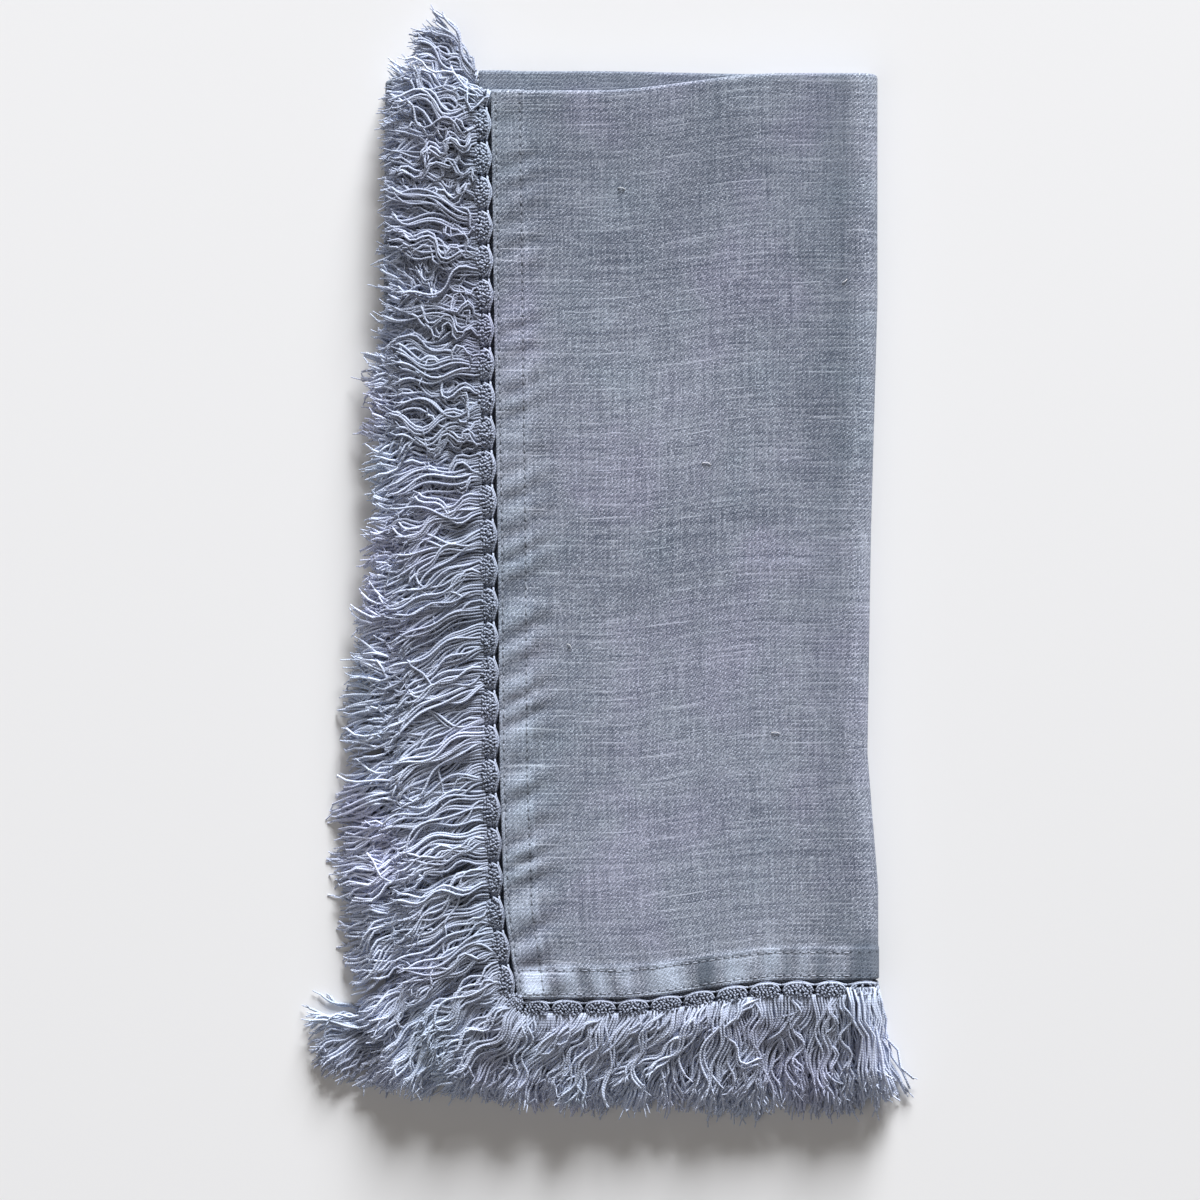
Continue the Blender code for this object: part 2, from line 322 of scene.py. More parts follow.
def linen_lines():
    """The grid lines across and along the cloth: fine on the front layer, plain where hidden."""
    across = hem_lines()
    across += spaced(PLAIN_START, FRONT_RUN_END, STEP_ACROSS)
    for run, bend, start, end in SECTIONS[1:]:
        if bend:
            lines = OUTER_BEND_LINES if run is RUNS[0] else BEND_LINES
            across += spaced(start, end, math.pi * bend.radius / lines)
        elif run is RUNS[-1]:
            across += spaced(start, end - HIDDEN_HEM, HIDDEN_STEPS[run])
            across += [end - row for row in reversed(coarse_hem_lines())]
        else:
            across += spaced(start, end, HIDDEN_STEPS[run])
    along = hem_lines()
    along += spaced(PLAIN_START, HEIGHT, STEP_ALONG)
    along += spaced(HEIGHT, HEIGHT + HAIRPIN, HAIRPIN / BEND_LINES)
    along += spaced(HEIGHT + HAIRPIN, LENGTH - HIDDEN_HEM, REAR_STEP_ALONG)
    along += [LENGTH - row for row in reversed(coarse_hem_lines())]
    return np.array(across), np.array(along)


def edge_distance(across, along):
    """How far each point of the open cloth is from the nearest hemmed edge."""
    return np.minimum(np.minimum(across, WIDTH - across), np.minimum(along, LENGTH - along))


def ripple(place, seed):
    """A wandering wave, from -1 to 1, whose crests are one apart on average."""
    drift = 0.22 * np.sin(place * 1.31 + seed) + 0.15 * np.sin(place * 2.77 + 2.1 * seed)
    return np.sin(2 * math.pi * (place + drift))


def on_and_past_hem(distance):
    """How strongly a hem's puckers show, by the distance from its edge."""
    past = np.exp(-((np.maximum(distance - HEM, 0) / (5.0 * MM)) ** 2))
    risen = smooth(distance / (1.2 * MM)) * (0.45 + 0.55 * smooth((distance - 0.5 * MM) / (3 * MM)))
    return past, risen


def pucker_wave(across, along):
    """The side hem's slanting puckers, from -1 to 1."""
    return ripple((along - SLANT * across) / PUCKER, 1.0)


def hem_relief(across, along):
    """The height of the puckers of both hems, drawn in along the rows of stitches."""
    (left, in_left), (foot, in_foot) = on_and_past_hem(across), on_and_past_hem(along)
    side_wave = pucker_wave(across, along) + 0.35 * ripple(along / (4.1 * MM), 2.0)
    foot_wave = ripple((across + 0.4 * along) / (9.5 * MM), 3.0)
    strength = PUCKER_HEIGHT + PUCKER_GAIN * smooth((180 * MM - along) / (120 * MM))
    height = strength * left * in_left * side_wave + PUCKER_HEIGHT * foot * in_foot * foot_wave
    for row in STITCH_ROWS:
        for distance in (across, along):
            height -= STITCH_DIP * np.exp(-(((distance - row) / (0.45 * MM)) ** 2))
    return height


def relief(across, along):
    """How far the front layer's surface stands up from the flat, in metres."""
    height = hem_relief(across, along)
    broad = np.sin(along / (19 * MM) + 1.1 * np.sin(across / (33 * MM)))
    broad = broad * np.sin(across / (27 * MM) + 0.8)
    fine = np.sin((along + 0.35 * across) / (6.3 * MM) + 2.0 * np.sin(across / (21 * MM)))
    height += BROAD_WAVE * broad + FINE_WAVE * fine
    crease = along - CREASE_PLACE + 0.04 * (across - 60 * MM)
    reach = smooth((across - 35 * MM) / (25 * MM))
    height += CREASE_HEIGHT * np.exp(-((crease / (1.1 * MM)) ** 2)) * reach
    return height


def front_weight(across, along):
    """1 on the front layer, fading to 0 at its two folds."""
    side = 1 - smooth((across - FRONT_RUN_END + 9 * MM) / (9 * MM))
    top = 1 - smooth((along - HEIGHT + 6 * MM) / (6 * MM))
    return side * top


def side_wear_and_pucker_shade(across, along):
    """The side hem's wear, with painted light and shade in turn along its puckers, all stronger lower
    down.
    """
    on_hem = 1 - smooth((across - HEM + 0.3 * MM) / (0.9 * MM))
    lower = smooth((185 * MM - along) / (120 * MM))
    wave = pucker_wave(across, along)
    wave = np.where(wave > 0, 0.45, 1.0) * wave * (0.75 + 0.25 * np.sin(along / (11 * MM)))
    return on_hem * (0.07 + 0.16 * lower + (0.16 + 0.36 * lower) * wave)


def foot_fading(across, on_hem):
    """The lower hem's wear: a little dark, with its patches."""
    dark = 0.10
    fade = -dark * on_hem
    for patch in FOOT_PATCHES:
        reach = np.exp(-(np.abs((across - patch.middle * MM) / (patch.width * MM / 2)) ** 3))
        fade = fade + on_hem * reach * (patch.fade + dark)
    return fade


def rear_darkening_and_painted_shade(across, along, front):
    """How much darker the cloth is drawn behind the front layer: on the rear top strip, and with
    painted shade on the hidden edges.
    """
    rear = -0.40 * smooth((along - HEIGHT + 20 * MM) / (15 * MM))
    rear = rear * smooth((across - FRONT_RUN_END - 10 * MM) / (10 * MM))
    # Painted shade: the hidden layers' cloth near the lower edges is drawn dark, as it lies in the
    # shade between the tassels.
    hidden = -0.6 * (1 - front) * smooth((14 * MM - np.minimum(along, LENGTH - along)) / (6 * MM))
    return rear, hidden


def fade_and_painted_shade(across, along):
    """How much lighter the cloth is drawn where above 0, and how much darker where below: the hems'
    wear, painted light and shade along the side hem's puckers, painted shade on the hidden edges,
    darker towards the top, the right fold and on the rear top strip, and lighter along the hems'
    very edges and lower down.
    """
    front = smooth((FRONT_RUN_END - across) / (4 * MM))
    in_foot = 1 - smooth((along - HEM + 0.4 * MM) / (0.9 * MM))
    right = -0.40 * smooth((across - 66 * MM) / (30 * MM)) * (across < FRONT_RUN_END)
    top = -0.17 * smooth((along - HEIGHT + 70 * MM) / (60 * MM))
    plain = side_wear_and_pucker_shade(across, along) + top + right
    front_fade_and_shade = np.where(in_foot > 0.01, foot_fading(across, in_foot), plain)
    rims = 0.16 * np.exp(-((across / (0.7 * MM)) ** 2)) + 0.20 * np.exp(-((along / (0.7 * MM)) ** 2))
    below = 0.08 * smooth((130 * MM - along) / (110 * MM))
    rear, hidden = rear_darkening_and_painted_shade(across, along, front)
    return np.clip(front_fade_and_shade * front + rear + hidden + (rims + below) * front, -1, 1.4)


def set_point_attribute(mesh, name, values):
    """Store one number for each vertex."""
    mesh.attributes.new(name, "FLOAT", "POINT").data.foreach_set(
        "value", np.asarray(values, np.float32).ravel()
    )


def thicken(linen, distance):
    """Give the sheet its thickness: full on the hems, less on plain cloth and rounded edges."""
    thick = np.where(distance < HEM, 1.0, PLAIN_SHARE)
    thick = np.where(distance < 0.1 * MM, EDGE_SHARE, thick)
    group = linen.vertex_groups.new(name="thick")
    for share in np.unique(thick):
        group.add(np.nonzero(thick == share)[0].tolist(), float(share), "REPLACE")
    body = linen.modifiers.new("thickness", "SOLIDIFY")
    body.thickness = HEM_THICKNESS
    body.offset = 0
    body.use_even_offset = True
    body.vertex_group = group.name


def make_linen(material):
    """One sheet through all eight layers, with its hems, puckers and creases."""
    across, along = linen_lines()
    steps_x, steps_y = len(across) - 1, len(along) - 1
    bm = bmesh.new()
    bmesh.ops.create_grid(bm, x_segments=steps_x, y_segments=steps_y, size=1)
    uv = bm.loops.layers.uv.new("cloth")
    bm.verts.index_update()
    grid = np.array([vert.co[:2] for vert in bm.verts])
    column = np.rint((grid[:, 0] + 1) / 2 * steps_x).astype(int)
    row = np.rint((grid[:, 1] + 1) / 2 * steps_y).astype(int)
    flat = np.stack([across[column], along[row]], -1)
    for face in bm.faces:
        for loop in face.loops:
            loop[uv].uv = flat[loop.vert.index]
    flat_across, flat_along = flat.T
    points, normals = fold(flat_across, flat_along)
    height = relief(flat_across, flat_along) * front_weight(flat_across, flat_along)
    points += normals * height[:, None]
    for vert, point in zip(bm.verts, points):
        vert.co = point
    bmesh.ops.recalc_face_normals(bm, faces=bm.faces)
    mesh = bpy.data.meshes.new("linen")
    bm.to_mesh(mesh)
    bm.free()
    set_point_attribute(mesh, "fade", fade_and_painted_shade(flat_across, flat_along))
    mesh.materials.append(material)
    mesh.shade_smooth()
    linen = bpy.data.objects.new("linen", mesh)
    bpy.context.scene.collection.objects.link(linen)
    thicken(linen, edge_distance(flat_across, flat_along))
    return linen


# ---------------------------------------------------------------------------------------------
# Yarn: every thread is a tube swept along its line, and the threads of a piece are one mesh
# ---------------------------------------------------------------------------------------------

YARN_RADIUS = 0.31 * MM
BLUNT = 0.12 * MM  # how short the closed end of a thread is
THREAD_SIDES = 4
SWELL = 0.10  # how much a thread's width comes and goes


def blunt_ends(line):
    """Add a point close to each end of a line, so that a tube closes over a short length."""
    first, last = line[1] - line[0], line[-2] - line[-1]
    start = line[0] + first * (BLUNT / max(np.linalg.norm(first), 3 * BLUNT))
    end = line[-1] + last * (BLUNT / max(np.linalg.norm(last), 3 * BLUNT))
    return np.concatenate([line[:1], [start], line[1:-1], [end], line[-1:]])


class Threads:
    """Collects the lines of a piece's threads, each with a radius and a tint."""

    def __init__(self):
        self.lines, self.radii, self.tints = [], [], []

    def add(self, lines, radius, tints):
        """Add threads: lines is an array of threads, points and x, y, z."""
        for line, tint in zip(np.asarray(lines), np.broadcast_to(tints, len(lines))):
            self.lines.append(line)
            self.radii.append(radius)
            self.tints.append(float(tint))

    def sweep(self, name):
        """Lay the threads out as one curve. Give it with the numbers of each vertex of its mesh."""
        curve = bpy.data.curves.new(name, "CURVE")
        curve.dimensions = "3D"
        curve.bevel_depth = 1.0
        curve.bevel_resolution = THREAD_SIDES // 2 - 2
        curve.use_fill_caps = False
        turn = np.abs(np.arange(THREAD_SIDES) / THREAD_SIDES - 0.5) * 2
        numbers = {"along": [], "around": [], "tint": [], "share": []}
        for line, radius, tint in zip(self.lines, self.radii, self.tints):
            line = blunt_ends(line)
            line[:, 2] = np.maximum(line[:, 2], radius * 1.2)
            count = len(line)
            spline = curve.splines.new("POLY")
            spline.points.add(count - 1)
            spline.points.foreach_set("co", np.append(line, np.ones((count, 1)), 1).ravel())
            width = radius * (1 + SWELL * np.sin(np.arange(count) * 2.4 + 9 * tint))
            width[[0, -1]] = 0.0
            spline.points.foreach_set("radius", width)
            steps = np.linalg.norm(np.diff(line, axis=0), axis=1)
            distance = np.concatenate([[0], np.cumsum(steps)])
            numbers["along"].append(np.repeat(distance, THREAD_SIDES))
            numbers["around"].append(np.tile(turn, count))
            numbers["tint"].append(np.full(count * THREAD_SIDES, tint))
            numbers["share"].append(np.repeat(distance / distance[-1], THREAD_SIDES))
        return curve, numbers

    def make(self, name, material):
        """Sweep the threads, close their ends and give them as one mesh object."""
        curve, numbers = self.sweep(name)
        maker = bpy.data.objects.new(name, curve)
        bpy.context.scene.collection.objects.link(maker)
        graph = bpy.context.evaluated_depsgraph_get()
        mesh = bpy.data.meshes.new_from_object(maker.evaluated_get(graph), depsgraph=graph)
        bpy.data.objects.remove(maker)
        bpy.data.curves.remove(curve)
        for key, values in numbers.items():
            set_point_attribute(mesh, key, np.concatenate(values))
        bm = bmesh.new()
        bm.from_mesh(mesh)
        bmesh.ops.remove_doubles(bm, verts=bm.verts, dist=1e-7)
        bm.to_mesh(mesh)
        bm.free()
        mesh.name = name
        mesh.materials.clear()
        mesh.materials.append(material)
        mesh.shade_smooth()
        piece = bpy.data.objects.new(name, mesh)
        bpy.context.scene.collection.objects.link(piece)
        return piece


# ---------------------------------------------------------------------------------------------
# How the tassels lie. A row for each place on an edge, in millimetres from the CORNER: the way
# the tassels head, in degrees from straight out (positive is towards -Y on the side edges and
# towards -X on the lower ones), how far their locks spread, in degrees, how high their waves are
# and their length, in millimetres, and how far they turn on their way, in degrees.
# ---------------------------------------------------------------------------------------------

Flow = namedtuple("Flow", "place heading spread wave length turn")
SIDE_FLOW = (
    Flow(-230, 44, 12, 1.0, 25.5, 0),
    Flow(-222, 32, 12, 0.9, 26.5, 6),
    Flow(-205, 22, 12, 0.8, 26, 8),
    Flow(-175, 20, 13, 0.7, 26.5, 8),
    Flow(-150, 27, 10, 0.5, 26, 10),
    Flow(-118, 27, 10, 0.5, 26, 10),
    Flow(-104, 13, 18, 1.1, 25, 0),
    Flow(-85, 5, 24, 1.7, 25, 0),
    Flow(-55, 0, 24, 1.7, 25, 0),
    Flow(-20, 2, 26, 1.8, 25, 0),
    Flow(-9, -2, 24, 1.7, 25.5, 0),
    Flow(-3, -14, 22, 1.5, 23, 0),
    Flow(0, -28, 20, 1.3, 19.5, 0),
)
BACK_SIDE_FLOW = (
    Flow(-236, 50, 9, 0.6, 20, 10),
    Flow(-222, 30, 11, 0.7, 24, 0),
    Flow(-205, 20, 14, 0.8, 25.5, 0),
    Flow(-175, 16, 14, 0.8, 25.5, 0),
    Flow(-150, 16, 14, 0.8, 25, 0),
    Flow(-118, 14, 16, 0.8, 23.5, 0),
    Flow(-85, 4, 20, 0.9, 24, 0),
    Flow(-60, 0, 20, 0.9, 21.5, 0),
    Flow(-20, 2, 20, 0.9, 21, 0),
    Flow(-9, -8, 16, 0.8, 22, 0),
    Flow(-4, -26, 14, 0.8, 19, 10),
    Flow(-1.5, -42, 11, 0.8, 17, 30),
    Flow(1, -48, 11, 0.8, 16.5, 38),
)
END_FLOW = (
    Flow(-90, 50, 12, 0.9, 25, 0),
    Flow(-75, 46, 10, 0.7, 26, -6),
    Flow(-40, 41, 10, 0.8, 26, -8),
    Flow(-32, 30, 14, 1.1, 25.5, -8),
    Flow(-24, 14, 14, 1.1, 26, 0),
    Flow(-12, 4, 12, 1.0, 26, 0),
    Flow(0, -12, 12, 0.8, 26, 0),
)
BACK_END_FLOW = (
    Flow(-124, 86, 12, 0.6, 21, -42),
    Flow(-121, 74, 12, 0.6, 20, -34),
    Flow(-117, 54, 9, 0.6, 18.5, 0),
    Flow(-112, 44, 10, 0.7, 17, 0),
    Flow(-100, 36, 10, 0.7, 16.5, 0),
    Flow(-75, 28, 10, 0.7, 18.5, 0),
    Flow(-62, 22, 10, 0.6, 22.5, 0),
    Flow(-50, 18, 10, 0.6, 26.5, 0),
    Flow(-30, 10, 9, 0.6, 30, 0),
    Flow(-12, 0, 9, 0.5, 29, 0),
    Flow(0, -10, 10, 0.6, 27, 0),
)


def read_flow(flow, place):
    """Read a flow table at a place, in metres. Angles come out in radians and lengths in metres."""
    places, *columns = zip(*flow)
    places = [given * MM for given in places]
    values = [float(np.interp(place, places, column)) for column in columns]
    heading, spread, wave, length, turn = values
    return math.radians(heading), math.radians(spread), wave * MM, length * MM, math.radians(turn)


# How thick a tassel is built, on the front layer and on those that mostly lie hidden: its locks,
# the threads in each, the points of a thread, the loose threads, how far out from the hem's edge
# they start, in millimetres, how far they draw together, how much they scatter, how much of
# their heading they have at the root, how much painted light makes their yarn paler against the
# shade of the layers above, and how many fine fibres each thread opens into
Fullness = namedtuple("Fullness", "locks threads points loose neck gather scatter start pale fray")
FRONT = Fullness(6, 6, 15, 3, 3.6, 0.36, 0.9, 0.3, 0.0, 2)
CORNER_FRONT = Fullness(8, 6, 15, 2, 3.4, 0.10, 0.8, 0.5, 0.0, 2)
MIDDLE = Fullness(5, 6, 11, 2, 1.8, 0.50, 0.8, 0.3, 0.45, 1)
REAR = Fullness(5, 5, 7, 0, 1.8, 0.78, 0.5, 0.3, 0.40, 1)
TOPMOST = Fullness(10, 7, 13, 3, 1.0, 0.10, 1.0, 1.0, 0.0, 2)
TUFT = Fullness(7, 7, 13, 2, 1.8, 0.30, 1.0, 1.0, 0.0, 2)
Lock = namedtuple("Lock", "middle threads heading bend length wave level")

TASSEL_REACH = 3.4 * MM  # from a tassel's middle to its outermost locks
THREAD_STEP = 0.80 * MM  # between the roots of a lock's threads
LOCK_STACK = 1.9 * MM  # how far a tassel's locks lie above one another
UPPER_SHORTER = 0.45  # how much less a lower edge's tassel reaches out, for each length it is raised
FLAT_ROOT = 1.5 * MM  # up to this height it isn't any shorter
FRAY_RADIUS = 0.14 * MM
FRAY_START = 0.5 * MM  # how far before the end of a thread its fibres start
FLOOR_REST = 0.36 * MM  # the lowest that a thread's middle line lies
LEFT_FOLD_EDGE = -125.2 * MM + CORNER[0]
SIDE_ROOT, SIDE_REST = 6.1 * MM, 5.5 * MM  # a middle side tassel comes down from and to
SIDE_FOLLOW = 0.72  # how much of a root's height above that the tassel keeps
LOWER_REST, LOWER_FOLLOW = 0.6 * MM, 0.66  # the same for the lower edges
PAST_FOLD_DROP = 0.62  # how steeply side tassels fall past the left fold
FULL_HEADING = 1.05  # the share of its heading that a thread reaches
ROOT_LIFT = 0.25  # the share of its rise that a thread has at its root

# A tassel is built in another way beyond these places
TOPMOST_ABOVE = -3 * MM
CORNER_BELOW = -222 * MM
TUFT_BEYOND = -120 * MM


class Edge:
    """The place of one tassel on the cloth's side edges, on its lower ones, or at a corner."""

    def __init__(self, across, along, side, corner=False):
        self.across, self.along, self.side, self.corner = across, along, side, corner
        lean = math.radians(45) if corner else 0.0
        out = np.array([-math.cos(lean), -math.sin(lean), 0])
        aside = np.array([math.sin(lean), -math.cos(lean), 0])
        self.outward = out if side else np.array([0, -1.0, 0])
        self.drift = aside if side else np.array([-1.0, 0, 0])

    def at(self, offsets):
        """Give the edge's points and normals at some offsets along it."""
        offsets = np.atleast_1d(offsets)
        if self.corner:
            points, normals = fold(np.full(offsets.shape, self.across), self.along)
            return points - self.outward * 1.5 * MM + self.drift * 0.7 * offsets[:, None], normals
        if self.side:
            return fold(self.across, self.along + offsets)
        return fold(self.across + offsets, self.along)

    def place(self):
        """Where the tassel is on its flow table, in metres from the CORNER."""
        point = self.at(0.0)[0][0] - CORNER
        return point[1] if self.side else point[0]


def settle(points, edge, root_height):
    """Let the threads down onto what lies below them. The last axis of points is x, y, z."""
    share = np.linspace(0, 1, points.shape[1])
    if edge.side:
        rest = SIDE_REST + (root_height - SIDE_ROOT) * SIDE_FOLLOW
    else:
        rest = LOWER_REST + root_height * LOWER_FOLLOW
    points[:, :, 2] -= (root_height - rest) * smooth(share * 1.1)
    if edge.side:
        past = np.maximum(LEFT_FOLD_EDGE - points[:, :, 0], 0)
        points[:, :, 2] -= past * PAST_FOLD_DROP * smooth(past / (4 * MM))
    np.maximum(points[:, :, 2], FLOOR_REST, out=points[:, :, 2])


def thread_angles(rng, lock, share, start):
    """Give each thread's direction at each point, in radians from straight out."""
    count = lock.threads
    reached = start + (FULL_HEADING - start) * smooth(share / 0.45)
    angle = lock.heading * reached + lock.bend * (share - 0.35)
    angle = angle + rng.normal(0, 0.05, (count, 1)) * (0.3 + share)
    curled = rng.random((count, 1)) < 0.35
    angle += rng.normal(0, 0.35, (count, 1)) * curled * smooth((share - 0.7) / 0.3)
    turns = 2 * math.pi * rng.uniform(1.2, 2.6)
    phase = rng.uniform(0, 2 * math.pi) + rng.normal(0, 0.25, (count, 1))
    swing = np.cos(turns * share + phase) * smooth(share / 0.2)
    return angle + turns * lock.wave / lock.length * swing


def add_fray(threads, rng, lines, tints, fibres):
    """Add the fine fibres into which each thread opens at its cut end."""
    count = len(lines)
    heading = lines[:, -1] - lines[:, -3]
    heading /= np.linalg.norm(heading, axis=1)[:, None]
    for _ in range(fibres):
        way = heading + rng.normal(0, 0.42, (count, 3)) * (1, 1, 0.7)
        length = rng.uniform(0.9, 2.1, (count, 1)) * MM
        start = lines[:, -1] - heading * FRAY_START
        fibre = np.stack([start, start + way * length], 1)
        threads.add(fibre, FRAY_RADIUS, np.clip(tints + 0.04, 0, 1.15))


def lay_threads(rng, edge, lock, fullness):
    """Give the lines of a lock's threads, their roots, and which of them lie under the others."""
    count = lock.threads
    share = np.linspace(0, 1, fullness.points)
    angle = thread_angles(rng, lock, share, fullness.start)
    length = lock.length + (FRONT.neck - fullness.neck) * MM
    step = length * rng.uniform(0.92, 1.04, (count, 1)) / (fullness.points - 1)
    out, drift = np.cumsum(np.cos(angle), 1) * step, np.cumsum(np.sin(angle), 1) * step
    out, drift = out - out[:, :1] + fullness.neck * MM, drift - drift[:, :1]
    beside = np.arange(count) - (count - 1) / 2 + rng.uniform(-0.2, 0.2, count)
    roots, ups = edge.at(lock.middle + beside * THREAD_STEP)
    gather = (edge.at(0.0)[0] - roots.mean(0))[None]
    gather = gather * (fullness.gather * smooth(share / 0.7))[None, :, None]
    dome = 0.35 * MM * (1 - (beside / (count / 2)) ** 2)
    under = rng.random(count) < 0.25
    rise = lock.level + dome - under * 0.45 * MM + rng.normal(0, 0.10 * MM, count)
    lift = ROOT_LIFT + (1 - ROOT_LIFT) * smooth(share / 0.25)
    lines = roots[:, None] + ups[:, None] * (rise[:, None] * lift)[:, :, None] + gather
    lines = lines + edge.outward * out[:, :, None] + edge.drift * drift[:, :, None]
    settle(lines, edge, roots[:, 2:3])
    return lines, roots, under


def yarn_tints(rng, edge, lock, pale, root, under):
    """How light each thread is: paler towards the foot, with painted light on top and on the hidden
    layers' yarn, and painted shade where it lies under.
    """
    # Paler towards the foot; pale adds painted light to the hidden layers' yarn, in the shade of the
    # layers above.
    paler_foot_and_painted_light = 0.38 * smooth((CORNER[1] - root[1]) / (200 * MM)) + pale
    if not edge.side:
        # Painted light on the lower edges' threads, and painted shade towards their right-hand
        # corner.
        paler_foot_and_painted_light += 0.08 - 0.22 * smooth((edge.place() + 32 * MM) / (32 * MM))
    # Painted light on the upper locks and painted shade on the threads that lie under.
    tints = 0.35 + paler_foot_and_painted_light + 0.16 * lock.level / LOCK_STACK - 0.14 * under
    return tints + 0.08 * rng.normal() + 0.10 * rng.normal(0, 1, lock.threads)


def add_lock(threads, rng, edge, lock, fullness):
    """Add some threads that lie side by side and go the same way."""
    lines, roots, under = lay_threads(rng, edge, lock, fullness)
    tints = yarn_tints(rng, edge, lock, fullness.pale, roots[0], under)
    threads.add(lines, YARN_RADIUS, np.clip(tints, 0, 1.25))
    add_fray(threads, rng, lines, tints, fullness.fray)


def add_tassel(threads, rng, edge, flow, fullness):
    """Add one tassel: locks of threads, and a few loose threads that stray across them."""
    heading, spread, wave, length, turn = read_flow(flow, edge.place())
    heading = 0.0 if edge.corner else heading + rng.normal(0, 0.4) * spread
    length *= rng.uniform(0.92, 1.04)
    if not edge.side and fullness is not FRONT:
        length -= UPPER_SHORTER * max(edge.at(0.0)[0][0, 2] - FLAT_ROOT, 0.0)
    spread *= fullness.scatter
    order = rng.permutation(fullness.locks)
    base = rng.normal(0, 0.3 * MM)
    for number in range(fullness.locks):
        middle = TASSEL_REACH * (2 * (number + 0.5) / fullness.locks - 1)
        lock = Lock(
            middle,
            fullness.threads,
            heading + rng.normal(0, 0.8) * spread,
            turn + rng.normal(0, 0.3) + 0.4 * spread * rng.normal(),
            length * rng.uniform(0.92, 1.05),
            wave * rng.uniform(0.6, 1.4),
            base + (order[number] / (fullness.locks - 1) - 0.35) * LOCK_STACK,
        )
        add_lock(threads, rng, edge, lock, fullness)
    for _ in range(fullness.loose):
        lock = Lock(
            TASSEL_REACH * rng.uniform(-0.9, 0.9),
            rng.integers(1, 3),
            heading + rng.normal(0, 1.5) * spread,
            turn + rng.normal(0, 1.0),
            length * rng.uniform(0.80, 1.02),
            wave * 1.4,
            base + 0.75 * LOCK_STACK,
        )
        add_lock(threads, rng, edge, lock, fullness)


# The knots' rows of small loops: how far out from the hem's edge they are and how far to each
# side they reach, in millimetres, and how many loops they have
KnotRow = namedtuple("KnotRow", "out count reach")
KNOT_ROWS = (
    KnotRow(1.0, 4, 1.6),
    KnotRow(1.6, 6, 2.7),
    KnotRow(2.2, 7, 3.4),
    KnotRow(2.8, 8, 3.75),
    KnotRow(3.4, 8, 3.75),
    KnotRow(4.0, 6, 3.3),
)
HIDDEN_KNOT_ROWS = (KnotRow(1.5, 4, 3.0), KnotRow(2.5, 5, 3.8), KnotRow(3.5, 5, 3.9))
LOOP, HIDDEN_LOOP = 0.36 * MM, 0.6 * MM  # half of a loop's length
LOOP_RADIUS, RIM_RADIUS, CHAIN_RADIUS = 0.25 * MM, 0.32 * MM, 0.26 * MM
SIDE_KNOT_TINT, LOWER_KNOT_TINT = 0.27, 0.10
RIM_REACH = 3.95 * MM  # from a knot's middle to the holes beside it


def add_knots(threads, rng, edge, rows, loop):
    """Add the knots that hold one tassel: rows of small loops on a rounded head."""
    bow = np.linspace(0, math.pi, 4)
    for row in rows:
        for index in range(row.count):
            share = 2 * (index + 0.5) / row.count - 1
            offset = share * row.reach * MM + rng.normal(0, 0.12 * MM)
            roots, ups = edge.at(offset)
            dome = (1 - share**2) * (1 - ((row.out - 2.6) / 3.0) ** 2)
            rise = (0.05 + 0.62 * dome) * MM + rng.normal(0, 0.07 * MM)
            out = (row.out * MM + rng.normal(0, 0.12 * MM)) * edge.outward
            middle = roots[0] + out + ups[0] * rise
            lean = rng.uniform(-1.3, 1.3)
            way = edge.outward * math.cos(lean) + np.cross(ups[0], edge.outward) * math.sin(lean)
            line = middle - way * (np.cos(bow) * loop)[:, None]
            line += ups[0] * (np.sin(bow) * 0.34 * MM)[:, None]
            # Painted light: a knot's loops are drawn lighter towards the top of its dome.
            tint = (SIDE_KNOT_TINT if edge.side else LOWER_KNOT_TINT) + 0.14 * dome
            tint = np.clip(tint + rng.normal(0, 0.12), 0, 1)
            threads.add(line[None], LOOP_RADIUS, [tint])


def add_rim(threads, rng, edge, points):
    """Add the thread that bows round the hem side of a knot, from hole to hole."""
    bow = np.linspace(-1, 1, points)
    roots, ups = edge.at(bow * RIM_REACH)
    out = 2.9 * MM - 2.15 * MM * np.sqrt(np.maximum(1 - bow**2, 0)) ** 0.8
    lift = 0.10 * MM + 0.30 * MM * (1 - bow**2)
    line = roots + edge.outward * out[:, None] + ups * lift[:, None]
    threads.add(line[None], RIM_RADIUS, [np.clip(0.5 + rng.normal(0, 0.08), 0, 1)])


def add_chain(threads, rng, edge, points):
    """Add the thread that ties one knot to the hem and to the next knot."""
    bow = np.linspace(-0.5, 0.5, points)
    roots, ups = edge.at(bow * TASSEL)
    out = (0.72 - 0.52 * np.cos(bow * 2 * math.pi)) * MM
    line = roots + edge.outward * out[:, None] + ups * 0.10 * MM
    threads.add(line[None], CHAIN_RADIUS, [np.clip(0.62 + rng.normal(0, 0.08), 0, 1)])


def tassel_edges(side, far, first, last):
    """List a fringe's tassels between two places on the cloth's edge, as shares of its length."""
    count = round(LENGTH / TASSEL / 2) * 2 - 1 if side else round(WIDTH / TASSEL)
    middles = (np.arange(count) + 0.5) / count
    middles = [share for share in middles if first <= share < last]
    if not side:
        return [Edge(share * WIDTH, LENGTH if far else 0.0, False) for share in middles]
    across = WIDTH if far else 0.0
    found = [Edge(across, share * LENGTH, True) for share in middles]
    if first == 0:
        found.append(Edge(across, 0.0, True, corner=True))
    if last == 1:
        found.append(Edge(across, LENGTH, True, corner=True))
    return found


def choose_fullness(edge, fullness):
    """How full a tassel is built: as its stretch is, but for those at the top and the corners."""
    if edge.side and edge.place() > TOPMOST_ABOVE:
        return TOPMOST
    if edge.side and fullness is FRONT and edge.place() < CORNER_BELOW:
        return CORNER_FRONT
    if not edge.side and edge.place() < TUFT_BEYOND:
        return TUFT
    return fullness


